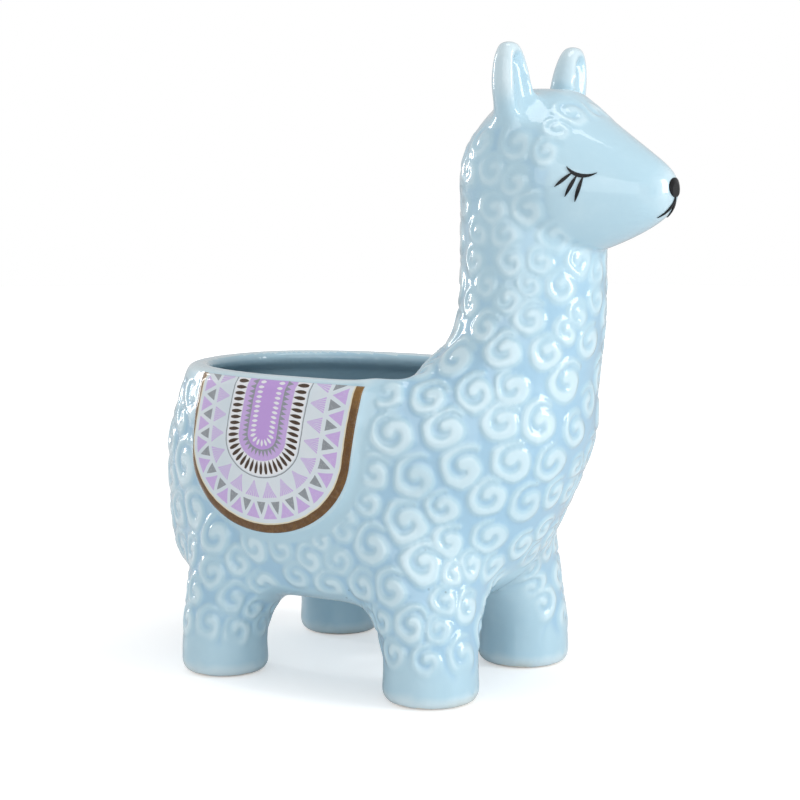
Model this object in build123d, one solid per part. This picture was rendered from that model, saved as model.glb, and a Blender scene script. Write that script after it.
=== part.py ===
from build123d import *
import math
import os

# Animal shaped planter: one hollow slip-cast casting on four legs, with luted ears, a printed
# blanket on each flank and a painted face. Millimetres. +X is the way the animal faces, +Z is
# up, and the ground is z = 0. Lengths along X are first measured from the widest section of
# the pot, and the finished pieces are then moved so that the origin is under their middle.

# pot, which is the animal's torso
rump_length = 62.0          # widest section back to the rump
chest_length = 70.0         # widest section forward to the neck's front
torso_width = 79.0
torso_round = 9.0           # rounding of the belly's edge
belly_height = 23.0
rim_height = 84.0
wall = 4.0
lip_width = 6.0             # thickened lip round the mouth of the pot
lip_depth = 6.0
lip_round = 1.6
drain_diameter = 8.0
torso_fullness = 2.35       # 2 is an ellipse, more is squarer

# legs
rear_leg_diameter = 23.4
front_leg_diameter = 25.0
leg_spacing_x = 65.0
rear_leg_spacing = 57.0
front_leg_spacing = 50.0
legs_forward = 2.5          # middle of the legs ahead of the widest section
leg_merge_height = 36.0     # how far a leg runs up inside the torso
rear_leg_gather = 60.0      # degrees from X that the rear legs draw in on their way up
front_leg_gather = 42.0     # and the front legs
foot_round = 3.2

# neck and shoulders
neck_depth = 38.0
neck_width = 39.5
neck_length = 54.0          # rim up to the head's axis
shoulder_width = 62.0
shoulder_ahead = 32.8       # widest place of the shoulders forward to the chest
shoulder_behind = 10.0      # and back to the pot's mouth
shoulder_set_back = 17.0    # that place behind the neck's middle

# head
head_length = 58.6
head_height = 41.5
head_width = 41.0
head_overhang = 0.5         # the head starts this far ahead of the neck's back

# ears
ear_length = 25.8
ear_width = 13.0
ear_thickness = 10.6
ear_spacing = 26.0
ear_lean_out = 4.5          # each tip further out than its foot
ear_x = 20.4                # ahead of the back of the head
ear_foot_height = 7.0       # above the head's axis, inside the head
ear_scoop_depth = 4.2
ear_scoop_width = 7.6
ear_tip_rim = 3.0           # clay left above the scoop
ear_tip_round = 1.4

# blanket on each flank: a raised panel with a printed transfer on it
blanket_relief = 0.8
blanket_margin = 1.2        # panel past the transfer
transfer_thickness = 0.3
blanket_width = 54.0
blanket_drop = 41.5         # rim down to its lowest point
blanket_round = 22.0        # height of its rounded end
blanket_behind = 8.0        # its middle behind the widest section
blanket_lean = 6.0          # degrees that its rounded end is turned, so that the sides lean forward
blanket_rim_gap = 2.0       # below the top of the rim

# painted face
enamel_thickness = 0.3
eye_x = 40.5                # middle of the lid ahead of the back of the head
eye_height = 0.6            # and above the head's axis
lid_width = 7.0
lid_sag = 1.5
lid_tilt = 13.0             # degrees, with the end nearer the ear higher
lid_stroke = 0.95
lash_length = 6.8
lash_stroke = 0.8
nose_width = 5.8
nose_height = 4.9
nose_drop = 3.9             # middle of the nose below the head's axis
nose_reach = 7.0            # how far back from its tip the muzzle is painted
mouth_width = 5.6
mouth_drop = 5.6            # its corners below the nose's lower end
mouth_sag = 0.6
mouth_stroke = 0.8

overrun = 2.0               # every cutter runs past the clay by this much

# how many rows each surface is lofted through
torso_rows = 9
neck_rows = 15
head_rows = 13
leg_rows = 7
ear_rows = 7
inside_rows = 7

# rows of the torso: height from belly to rim, reach behind, reach ahead and width
torso_shares = (
    (0.00, 0.92, 0.53, 0.86),
    (0.14, 0.985, 0.68, 0.935),
    (0.30, 1.00, 0.77, 0.97),
    (0.56, 1.00, 0.88, 1.00),
    (0.80, 0.945, 0.945, 0.985),
    (1.00, 0.855, 0.955, 0.93),
)

# rows of the neck: height from under the lip to the head's axis, and how much of the shoulders'
# reach and of their width is left there
neck_shares = (
    (0.00, 1.00, 1.00),
    (0.10, 0.95, 0.98),
    (0.20, 0.38, 0.58),
    (0.32, 0.10, 0.25),
    (0.46, 0.01, 0.06),
    (0.60, 0.00, 0.00),
    (1.00, 0.00, 0.00),
)

# rows of the head: length from the back to the nose, lowest and highest point and half width
head_shares = (
    (0.00, -0.06, -0.06, 0.00),
    (0.035, -0.30, 0.16, 0.24),
    (0.125, -0.45, 0.36, 0.42),
    (0.30, -0.53, 0.505, 0.50),
    (0.46, -0.56, 0.51, 0.50),
    (0.62, -0.505, 0.375, 0.44),
    (0.79, -0.41, 0.20, 0.32),
    (0.92, -0.31, 0.075, 0.20),
    (0.98, -0.23, 0.00, 0.11),
    (1.00, -0.155, -0.065, 0.045),
)

# rows of a leg: height, radius, and how far its middle has moved in under the belly, in radii
leg_shares = (
    (0.00, 1.00, 0.00),
    (0.14, 1.00, 0.00),
    (0.27, 1.06, 0.09),
    (0.40, 1.27, 0.40),
    (0.58, 1.53, 0.78),
    (0.80, 1.58, 1.04),
    (1.00, 1.45, 1.34),
)

# rows of an ear: height from foot to tip, thickness and width
ear_shares = (
    (0.00, 0.86, 0.62),
    (0.25, 1.00, 0.92),
    (0.50, 0.96, 1.00),
    (0.78, 0.78, 0.82),
    (0.94, 0.52, 0.56),
    (1.00, 0.32, 0.34),
)

# three lashes: where each leaves the lid, in lid widths, and how far it runs back and down, in
# lash lengths
lash_shares = (
    (-0.25, -0.46, -0.66),
    (-0.08, -0.22, -0.88),
    (0.12, -0.07, -1.00),
)


def smooth_row(rows, at):
    """Values at a place along the first column, on a smooth curve that never overshoots."""
    xs = [row[0] for row in rows]
    k = max(i for i in range(len(xs) - 1) if xs[i] <= at or i == 0)
    step = xs[k + 1] - xs[k]
    t = (at - xs[k]) / step
    out = []
    for column in range(1, len(rows[0])):
        ys = [row[column] for row in rows]
        rise = [(ys[i + 1] - ys[i]) / (xs[i + 1] - xs[i]) for i in range(len(xs) - 1)]

        def slope(i):
            if i == 0:
                return rise[0]
            if i == len(xs) - 1:
                return rise[-1]
            if rise[i - 1] * rise[i] <= 0:
                return 0.0
            return 2 / (1 / rise[i - 1] + 1 / rise[i])

        start, end = slope(k) * step, slope(k + 1) * step
        out.append((2 * t**3 - 3 * t**2 + 1) * ys[k] + (t**3 - 2 * t**2 + t) * start
                   + (3 * t**2 - 2 * t**3) * ys[k + 1] + (t**3 - t**2) * end)
    return out


def even(count):
    return [i / (count - 1) for i in range(count)]


def oval(ahead, behind, half_width, fullness=2.0, points=16):
    """Closed egg-shaped face in the XY plane, widest on the Y axis."""
    power = 2.0 / fullness
    outline = []
    for step in range(points):
        angle = 2 * math.pi * step / points
        c, s = math.cos(angle), math.sin(angle)
        reach = ahead if c > 0 else behind
        outline.append((
            reach * math.copysign(abs(c) ** power, c),
            half_width * math.copysign(abs(s) ** power, s),
        ))
    knots = [step / points for step in range(points + 1)]
    return Face(Wire(Edge.make_spline(outline, periodic=True, parameters=knots)))


def cast(sections, inset):
    """The outside is one smooth loft. The hidden inside may run plain from row to row."""
    return loft(sections, ruled=inset > 0)


# pot and its legs

def torso_oval(z, inset):
    share = (z - belly_height) / (rim_height - belly_height)
    behind, ahead, width = smooth_row(torso_shares, share)
    return Pos(0, 0, z) * oval(chest_length * ahead - inset, rump_length * behind - inset,
                               torso_width / 2 * width - inset, torso_fullness)


def torso(inset, top):
    bottom = belly_height + inset
    rows = even(inside_rows if inset > 0 else torso_rows)
    solid = cast([torso_oval(bottom + (top - bottom) * t, inset) for t in rows], inset)
    return fillet(solid.edges().group_by(Axis.Z)[0], torso_round - inset / 2)


def leg(x, side, spacing, diameter, inset):
    inward, gather = (-1, front_leg_gather) if x > legs_forward else (1, rear_leg_gather)
    radius = diameter / 2
    bottom, top = inset, belly_height + leg_merge_height
    turn = math.radians(gather)
    sections = []
    for t in even(leg_rows):
        z = bottom + (top - bottom) * t
        size, shift = smooth_row(leg_shares, z / top)
        along, across = radius * shift * math.cos(turn), radius * shift * math.sin(turn)
        reach = radius * size - inset
        place = Pos(x + inward * along, side * (spacing / 2 - across), z)
        sections.append(place * oval(reach, reach, reach))
    solid = cast(sections, inset)
    return fillet(solid.edges().group_by(Axis.Z)[0], foot_round - inset / 2)


def legs(inset):
    rear = (legs_forward - leg_spacing_x / 2, rear_leg_spacing, rear_leg_diameter)
    front = (legs_forward + leg_spacing_x / 2, front_leg_spacing, front_leg_diameter)
    return [leg(x, side, spacing, diameter, inset)
            for x, spacing, diameter in (rear, front) for side in (-1, 1)]


# neck and head

neck_x = chest_length - neck_depth / 2
neck_base = rim_height - lip_depth
head_axis = rim_height + neck_length
head_back = neck_x - neck_depth / 2 + head_overhang


def neck(inset):
    sections = []
    for t in even(inside_rows if inset > 0 else neck_rows):
        left, wide = smooth_row(neck_shares, t)
        ahead = neck_depth / 2 * (1 - left) + shoulder_ahead * left - inset
        behind = neck_depth / 2 * (1 - left) + shoulder_behind * left - inset
        half = (neck_width * (1 - wide) + shoulder_width * wide) / 2 - inset
        z = neck_base + (head_axis - neck_base) * t
        sections.append(Pos(neck_x - shoulder_set_back * left, 0, z) * oval(ahead, behind, half))
    return cast(sections, inset)


def head(inset):
    length = head_length - 2 * inset
    height = head_height - 2 * inset
    width = head_width - 2 * inset
    last = (inside_rows if inset > 0 else head_rows) - 1
    sections = []
    for i in range(last + 1):
        along = (1 - math.cos(math.pi * i / last)) / 2
        low, high, half = smooth_row(head_shares, along)
        centre = (head_back + inset + length * along, 0, head_axis + (low + high) / 2 * height)
        if i == 0:
            sections.append(Vertex(*centre))
        else:
            tall = (high - low) / 2 * height
            place = Plane(origin=centre, x_dir=(0, 0, 1), z_dir=(1, 0, 0))
            sections.append(place * oval(tall, tall, half * width))
    return cast(sections, inset)


# ears

def ear_form(side, half_thickness, half_width, forward, length):
    sections = []
    for i in range(ear_rows):
        t = math.sin(math.pi / 2 * i / (ear_rows - 1))
        thickness, width = smooth_row(ear_shares, t)
        place = Pos(head_back + ear_x + forward * thickness,
                    side * (ear_spacing / 2 + ear_lean_out * t),
                    head_axis + ear_foot_height + length * t)
        reach = half_thickness * thickness
        sections.append(place * oval(reach, reach, half_width * width))
    return loft(sections)


def ear(side):
    horn = ear_form(side, ear_thickness / 2, ear_width / 2, 0, ear_length)
    horn = fillet(horn.edges().group_by(Axis.Z)[-1], ear_tip_round)
    scoop = ear_form(side, ear_scoop_depth, ear_scoop_width / 2, ear_thickness / 2,
                     ear_length - ear_tip_rim)
    return horn - scoop - head(0)


# blanket

def blanket_prism(side, margin):
    """From the pot's mid-plane out past its flank, with a straight top and a rounded end."""
    half = blanket_width / 2 + margin
    top = rim_height - blanket_rim_gap
    shoulder = rim_height - blanket_drop + blanket_round
    end = EllipticalCenterArc((-blanket_behind, shoulder), half, blanket_round + margin,
                              start_angle=180 - blanket_lean, arc_size=180)
    lean = end % 1
    front_top, rear_top = (foot + lean * ((top - foot.Y) / lean.Y) for foot in (end @ 1, end @ 0))
    sides = Polyline(end @ 1, front_top, rear_top, end @ 0)
    outline = Plane.XZ * make_face([end, sides])
    return extrude(outline, -side * (torso_width / 2 + blanket_relief + overrun))


def blanket_panel(side):
    panel = torso(-blanket_relief, rim_height) & blanket_prism(side, blanket_margin)
    face = panel.faces().sort_by(Axis.Y)[0 if side < 0 else -1]
    return fillet(face.edges(), blanket_relief * 0.75)


def blanket_transfer(side):
    flank = blanket_relief + transfer_thickness
    sheet = torso(-flank, rim_height) & blanket_prism(side, 0)
    return sheet - torso(-blanket_relief, rim_height)


# painted face

def brush(start, end, sag, width):
    """Leaf-shaped brush stroke between two points of a drawing, bent by its sag."""
    start, end = Vector(*start), Vector(*end)
    across = (end - start).normalized().rotate(Axis.Z, 90)
    middle = (start + end) / 2 - across * sag
    one = ThreePointArc(start, middle + across * (width / 2), end)
    other = ThreePointArc(end, middle - across * (width / 2), start)
    return make_face([one, other])


def enamel(drawing_solid):
    return (head(-enamel_thickness) & drawing_solid) - head(0)


def lashes(side):
    strokes = brush((-lid_width / 2, 0), (lid_width / 2, 0), lid_sag, lid_stroke)
    for along, back, down in lash_shares:
        start = (along * lid_width, -lid_sag * (1 - (2 * along) ** 2))
        end = (start[0] + back * lash_length, start[1] + down * lash_length)
        strokes += brush(start, end, 0, lash_stroke)
    eye = Pos(head_back + eye_x, eye_height + head_axis) * Rot(0, 0, -lid_tilt) * strokes
    return enamel(extrude(Plane.XZ * eye, -side * (head_width / 2 + overrun)))


def muzzle(drawing):
    """A drawing on the YZ plane, run forward through the tip of the nose."""
    tip = head_back + head_length
    plane = Plane(origin=(tip - nose_reach, 0, 0), x_dir=(0, 1, 0), z_dir=(1, 0, 0))
    return enamel(extrude(plane * drawing, nose_reach + overrun))


def nose():
    return muzzle(Pos(0, head_axis - nose_drop) * Ellipse(nose_width / 2, nose_height / 2))


def mouth_line():
    start = (0, head_axis - nose_drop - nose_height / 2 + mouth_stroke / 2)
    drop = start[1] - mouth_drop
    strokes = brush(start, (-mouth_width / 2, drop), -mouth_sag, mouth_stroke)
    strokes += brush(start, (mouth_width / 2, drop), mouth_sag, mouth_stroke)
    return muzzle(strokes) - nose()


# assembly

def casting():
    lip_face = rim_height - lip_depth / 2
    mouth = extrude(torso_oval(lip_face, lip_width), rim_height)
    pot = torso(0, rim_height) - mouth
    clay = fillet(pot.faces().sort_by(Axis.Z)[-1].edges(), lip_round)
    panels = [blanket_panel(side) - mouth for side in (-1, 1)]
    for added in (neck(0), head(0), *legs(0), *panels):
        clay += added
    throat = loft([torso_oval(neck_base, wall), torso_oval(lip_face, lip_width)], ruled=True)
    drain = Pos(0, 0, belly_height - overrun) * Cylinder(
        drain_diameter / 2, wall + 2 * overrun, align=(Align.CENTER, Align.CENTER, Align.MIN))
    for hollow in (torso(wall, neck_base), throat, neck(wall), head(wall), *legs(wall), drain):
        clay -= hollow
    return clay


def main():
    pieces = {"body": casting(), "nose": nose(), "mouth": mouth_line()}
    for side, name in ((-1, "right"), (1, "left")):
        pieces["ear_" + name] = ear(side)
        pieces["blanket_" + name] = blanket_transfer(side)
        pieces["lashes_" + name] = lashes(side)

    boxes = [piece.bounding_box() for piece in pieces.values()]
    middle = (min(box.min.X for box in boxes) + max(box.max.X for box in boxes)) / 2
    os.makedirs("parts", exist_ok=True)
    for name, piece in pieces.items():
        moved = Pos(-middle, 0, 0) * piece
        export_step(moved, "parts/" + name + ".step")
        print(name, moved.is_valid, len(moved.solids()), round(moved.volume, 2), moved.bounding_box())
    print("drain at x", round(-middle, 4), "legs at x", round(legs_forward - middle, 4))


if __name__ == "__main__":
    main()
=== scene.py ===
import math

import bmesh
import bpy
import numpy as np
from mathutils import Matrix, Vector
from mathutils.bvhtree import BVHTree


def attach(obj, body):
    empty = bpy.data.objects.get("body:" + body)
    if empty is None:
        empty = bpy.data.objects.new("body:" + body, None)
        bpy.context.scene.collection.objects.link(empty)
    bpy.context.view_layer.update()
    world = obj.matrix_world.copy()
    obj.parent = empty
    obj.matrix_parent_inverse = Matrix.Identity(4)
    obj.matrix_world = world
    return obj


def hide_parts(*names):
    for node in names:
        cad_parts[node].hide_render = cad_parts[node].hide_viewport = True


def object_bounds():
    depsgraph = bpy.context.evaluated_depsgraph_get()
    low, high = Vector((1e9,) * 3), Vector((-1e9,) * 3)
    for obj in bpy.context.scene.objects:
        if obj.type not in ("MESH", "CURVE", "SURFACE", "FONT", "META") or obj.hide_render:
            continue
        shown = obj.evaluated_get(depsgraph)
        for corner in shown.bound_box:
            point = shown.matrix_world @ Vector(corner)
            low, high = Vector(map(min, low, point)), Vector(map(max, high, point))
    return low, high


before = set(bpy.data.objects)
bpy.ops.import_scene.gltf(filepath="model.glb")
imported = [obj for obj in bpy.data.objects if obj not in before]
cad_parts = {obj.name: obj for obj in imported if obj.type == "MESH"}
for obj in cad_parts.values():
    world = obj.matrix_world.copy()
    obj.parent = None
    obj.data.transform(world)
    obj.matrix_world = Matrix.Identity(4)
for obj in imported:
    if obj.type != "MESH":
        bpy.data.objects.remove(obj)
cadBox = [[round(v, 6) for v in corner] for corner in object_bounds()]
mm = 0.001                                  # lengths below are in millimetres
chance = np.random.default_rng(7)

# the planter's own places, in the CAD frame
planter = {
    "potMiddle": (-10.0, 0.0, 55.0),
    "potFloor": (-20.0, 5.0, 31.0),
    "potFront": 10.5,            # in front of this x,
    "neckFoot": 76.0,            # and above this height, the hollow is the neck's
    "neckAxis": 36.8,            # x of the neck's axis
    "headFoot": 118.0,
    "headMiddle": (47.0, 0.0, 139.0),
    "legs": ((-44.7, 28.5), (-44.7, -28.5), (20.3, 25.0), (20.3, -25.0)),
    "legReach": 16.0,            # a leg's hollow is nearer to its axis than this
    "legMiddle": 12.0,
    "overRim": 86.5,             # nothing of the pot stands higher than this
    "belly": 27.0,               # the legs' hollows are below this
}


def smoothStep(low, high, value):
    t = np.clip((value - low) / (high - low), 0.0, 1.0)
    return t * t * (3 - 2 * t)


def bandWeight(value, band):
    return smoothStep(band[0], band[1], value) * (1 - smoothStep(band[2], band[3], value))


def vectorsOf(mesh, kind):
    flat = np.empty(len(mesh.vertices) * 3)
    mesh.vertices.foreach_get(kind, flat)
    return flat.reshape(-1, 3)


def pointsOf(mesh):
    return vectorsOf(mesh, "co") / mm


def normalsOf(mesh):
    return vectorsOf(mesh, "normal")


def setPoints(mesh, points):
    mesh.vertices.foreach_set("co", (points * mm).astype(np.float32).ravel())
    mesh.update()


def edgesOf(mesh):
    flat = np.empty(len(mesh.edges) * 2, dtype=np.int32)
    mesh.edges.foreach_get("vertices", flat)
    return flat.reshape(-1, 2)


def neighbourCount(edges, total):
    return np.bincount(edges.ravel(), minlength=total).astype(float)


def neighbourMean(values, edges, count):
    # the average of each point's neighbours
    columns = values.T if values.ndim > 1 else values[None]
    total = np.array([np.bincount(edges[:, 0], c[edges[:, 1]], len(values))
                      + np.bincount(edges[:, 1], c[edges[:, 0]], len(values)) for c in columns])
    return (total / count).T if values.ndim > 1 else total[0] / count


def blurred(values, edges, count, passes):
    for _ in range(passes):
        values = neighbourMean(values, edges, count)
    return values


def relaxed(points, edges, count, steps, weight=1.0):
    # each step moves a point by that share of the way to its neighbours' mean
    for step in steps:
        points = points + step * weight * (neighbourMean(points, edges, count) - points)
    return points


def setAttribute(mesh, name, values):
    layer = mesh.attributes.get(name) or mesh.attributes.new(name, "FLOAT", "POINT")
    layer.data.foreach_set("value", np.asarray(values, dtype=np.float32))


def attributeOf(mesh, name):
    values = np.empty(len(mesh.vertices), dtype=np.float32)
    mesh.attributes[name].data.foreach_get("value", values)
    return values.astype(float)


def newObject(name, data):
    obj = bpy.data.objects.new(name, data)
    bpy.context.scene.collection.objects.link(obj)
    return obj


def applied(obj):
    # the object's mesh with its modifiers applied, in a new object
    graph = bpy.context.evaluated_depsgraph_get()
    mesh = bpy.data.meshes.new_from_object(obj.evaluated_get(graph), depsgraph=graph)
    name = obj.name
    bpy.data.objects.remove(obj)
    return newObject(name, mesh)


def treeOf(mesh):
    return BVHTree.FromPolygons([v.co for v in mesh.vertices], [p.vertices for p in mesh.polygons])


# the casting: the solids' own skin, with the junctions flowing into each other

casting = {
    "voxel": 1.0,                # spacing before the last subdivision
    "earTouch": 0.3,             # an ear's points this near to the head
    "earSink": 1.2,              # are let into it by this much before the two are joined
    "reach": 3.0,                # the new skin is laid on solids no farther off than this
    # smoothing steps: a step towards the neighbours' mean shrinks a form, and a step back restores it
    "evenSteps": (0.5, -0.52) * 4,
    "blendSteps": (0.6,) * 90,
    "earSteps": (0.5,) * 9 + (0.5, -0.512) * 60,
    # heights are where a blend starts, is full, starts to fade and is gone; sides and fronts are
    # the distances from the middle plane and the x where it starts and is full
    "shoulderHeights": (68.0, 76.0, 92.0, 106.0),
    "shoulderFront": (2.0, 16.0),
    "legHeights": (13.0, 24.0, 50.0, 62.0),
    "legSide": (6.0, 12.0),
    "earFootHeights": (146.0, 149.0, 153.5, 158.0),
    "earFootSide": (6.0, 8.0),
    "earFootShare": 0.55,
    # where the rim meets the neck: x and height of the middle, its radii and its lowest point
    "saddleMiddle": (18.0, 88.0),
    "saddleRadii": (9.0, 8.0),
    "saddleFoot": 79.0,
    # the panels under the blankets keep their shape
    "panelSide": 28.0,
    "panelFoot": 39.0,
    "panelMiddle": -21.7,
    "panelHalf": 32.0,
    "blendBlur": 8,
    "rimLift": 1.9,
    "rimMiddle": 15.0,           # x where the rim is lifted most
    "rimSpread": (9.0, 6.0),     # behind that x, and in front of it
    "rimHeights": (74.0, 82.0, 88.0, 96.0),
    "rimBlur": 6,
    "earHeights": (150.0, 156.0),
    "earSide": (5.0, 7.0),
    "footHeight": 0.6,           # what starts below this is a foot, and stays on the ground
    "beadBlur": 12,
}


def joinedSkin():
    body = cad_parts["body"].data
    bodyTree = treeOf(body)
    bm = bmesh.new()
    bm.from_mesh(body)
    for ear in ("ear_left", "ear_right"):
        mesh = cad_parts[ear].data.copy()
        points = pointsOf(mesh)
        for i, v in enumerate(mesh.vertices):
            if bodyTree.find_nearest(v.co, casting["earTouch"] * mm)[0] is not None:
                inward = np.array(planter["headMiddle"]) - points[i]
                points[i] += inward / np.linalg.norm(inward) * casting["earSink"]
        setPoints(mesh, points)
        bm.from_mesh(mesh)
        bpy.data.meshes.remove(mesh)
    bmesh.ops.remove_doubles(bm, verts=bm.verts, dist=1e-6)
    mesh = bpy.data.meshes.new("casting")
    bm.to_mesh(mesh)
    bm.free()
    skin = newObject("casting", mesh)
    remesh = skin.modifiers.new("remesh", "REMESH")
    remesh.mode = "VOXEL"
    remesh.voxel_size = casting["voxel"] * mm
    return applied(skin)


def facesOutward(points, normals):
    # true where the skin turns its back to the middle of the hollow behind it
    x, y, z = points.T
    middle = np.tile(np.array(planter["potMiddle"]), (len(points), 1))
    neck = (z > planter["overRim"]) | ((x > planter["potFront"]) & (z > planter["neckFoot"]))
    middle[neck] = np.stack([np.full(len(x), planter["neckAxis"]), np.zeros(len(x)), z], 1)[neck]
    middle[z > planter["headFoot"]] = planter["headMiddle"]
    for legX, legY in planter["legs"]:
        near = np.hypot(x - legX, y - legY) < planter["legReach"]
        middle[near & (z < planter["belly"])] = (legX, legY, planter["legMiddle"])
    return np.einsum("ij,ij->i", normals, points - middle) > 0


def flooded(start, allowed, edges):
    # the points joined to the start through allowed points
    reached = np.zeros(len(allowed), dtype=bool)
    reached[start] = True
    a, b = edges[allowed[edges[:, 0]] & allowed[edges[:, 1]]].T
    while True:
        before = reached.sum()
        for _ in range(8):
            grown = reached[a] | reached[b]
            reached[a[grown]] = True
            reached[b[grown]] = True
        if reached.sum() == before:
            return reached


def outerSide(points, normals, edges):
    # true outside: the inside is flooded from the pot's floor, then the outside from the top
    outward = facesOutward(points, normals)
    away = ((points - np.array(planter["potFloor"])) ** 2).sum(1)
    inside = flooded(np.argmin(np.where(outward, np.inf, away)), ~outward, edges)
    return flooded(np.argmax(points[:, 2]), ~inside, edges)


def laidOnSolids(points):
    # each point moved to the nearest place on the body or an ear
    trees = [treeOf(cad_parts[name].data) for name in ("body", "ear_left", "ear_right")]
    laid = points.copy()
    for i, point in enumerate(points):
        place = Vector(point * mm)
        hits = [tree.find_nearest(place, casting["reach"] * mm) for tree in trees]
        hits = [hit for hit in hits if hit[0] is not None]
        if hits:
            laid[i] = np.array(min(hits, key=lambda hit: hit[3])[0]) / mm
    return laid


def blendWeight(points, outer, edges, count):
    # how far each point gives way to its neighbours where two forms meet
    x, y, z = points.T
    side = np.abs(y)
    shoulder = bandWeight(z, casting["shoulderHeights"]) * smoothStep(*casting["shoulderFront"], x)
    leg = bandWeight(z, casting["legHeights"]) * smoothStep(*casting["legSide"], side)
    earFoot = bandWeight(z, casting["earFootHeights"]) * smoothStep(*casting["earFootSide"], side)
    junctions = np.maximum.reduce([shoulder, leg, earFoot * casting["earFootShare"]]) * outer
    (saddleX, saddleZ), (radiusX, radiusZ) = casting["saddleMiddle"], casting["saddleRadii"]
    saddle = np.exp(-((x - saddleX) / radiusX) ** 2 - ((z - saddleZ) / radiusZ) ** 2)
    saddle *= z > casting["saddleFoot"]
    panel = (side > casting["panelSide"]) & (z > casting["panelFoot"])
    panel &= np.abs(x - casting["panelMiddle"]) < casting["panelHalf"]
    return blurred(np.maximum(junctions, saddle) * ~panel, edges, count, casting["blendBlur"])


def smoothedSkin():
    skin = joinedSkin()
    mesh = skin.data
    points, edges = pointsOf(mesh), edgesOf(mesh)
    count = neighbourCount(edges, len(points))
    x, y, z = points.T
    print("skin of", len(points), "points")

    outer = outerSide(points, normalsOf(mesh), edges)
    laid = relaxed(laidOnSolids(points), edges, count, casting["evenSteps"])
    blend = blendWeight(points, outer, edges, count)
    laid = relaxed(laid, edges, count, casting["blendSteps"], blend[:, None])
    # the smoothing lowers the rim where it turns up into the neck, so that is lifted back
    spread = np.where(x < casting["rimMiddle"], *casting["rimSpread"])
    rimFront = np.exp(-((x - casting["rimMiddle"]) / spread) ** 2) * bandWeight(z, casting["rimHeights"])
    laid[:, 2] += casting["rimLift"] * blurred(rimFront, edges, count, casting["rimBlur"])
    ear = smoothStep(*casting["earHeights"], z) * smoothStep(*casting["earSide"], np.abs(y))
    laid = relaxed(laid, edges, count, casting["earSteps"], ear[:, None])
    foot = z < casting["footHeight"]
    laid[foot, 2] = np.maximum(laid[foot, 2], 0.0)
    setPoints(mesh, laid)
    setAttribute(mesh, "outer", outer)
    # nearly one on the inside, and fading outwards over the lip
    setAttribute(mesh, "bead", 1 - blurred(outer.astype(float), edges, count, casting["beadBlur"]))
    print("junctions smoothed")
    return skin


# fleece: raised curls, each a spiral with a knob at its inner end

fleece = {
    "ridge": 0.32,               # a curl above the solid's surface
    "valley": 0.32,              # and the glaze's groove below it
    "land": 0.6,                 # a curl may stand where the wool's weight is above this
    "twinFrom": 4.0,             # a seen curl this far from the middle plane has a twin
    "spacing": ((8.0, 7.4), (28.0, 8.8), (60.0, 9.6), (88.0, 9.0), (110.0, 8.2), (150.0, 7.4)),
    "settling": 3,
    "size": 0.52,                # a curl's radius beside the distance to the curls around it
    "seenSize": 1.38,            # a seen one's is the mean of this times its own
    "seenGap": 0.54,             # and this times that distance
    "reach": 1.26,               # how far a curl with no neighbour spreads, in shares of its radius
    "swell": 0.90,               # the lower, the larger every curl
    "search": 2.2,               # how many radii away a curl's land may lie
    "facing": 0.2,               # and how closely it faces the curl's way, as a cosine
    "power": 6,                  # the higher, the squarer a curl fits against its neighbours
    "turns": (1.10, 1.26),
    "strength": (0.84, 1.0),
    # from the tail to the knob: how far along, distance from the middle and half width
    "spiral": ((0.0, 0.82, 0.09), (0.20, 0.74, 0.17), (0.45, 0.68, 0.24), (0.62, 0.60, 0.28),
               (0.75, 0.44, 0.29), (0.87, 0.26, 0.30), (1.0, 0.12, 0.31)),
    "flank": (0.45, 1.25),       # the ridge falls away between these shares of its half width
    "tail": 62.0,                # degrees from level where a curl's tail starts
    "wander": 38.0,              # degrees a curl may be turned by
    "samples": 34,
    # the glaze is thicker up the neck, and draws the curls towards one level there
    "neckHeights": (84.0, 120.0),
    "neckLevel": 0.55,
    "neckDrawn": 0.42,
    "bendBlur": 6,
    "bendScale": 60.0,
    "poolBlur": 2,
    "plainPool": 0.5,
}

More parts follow.
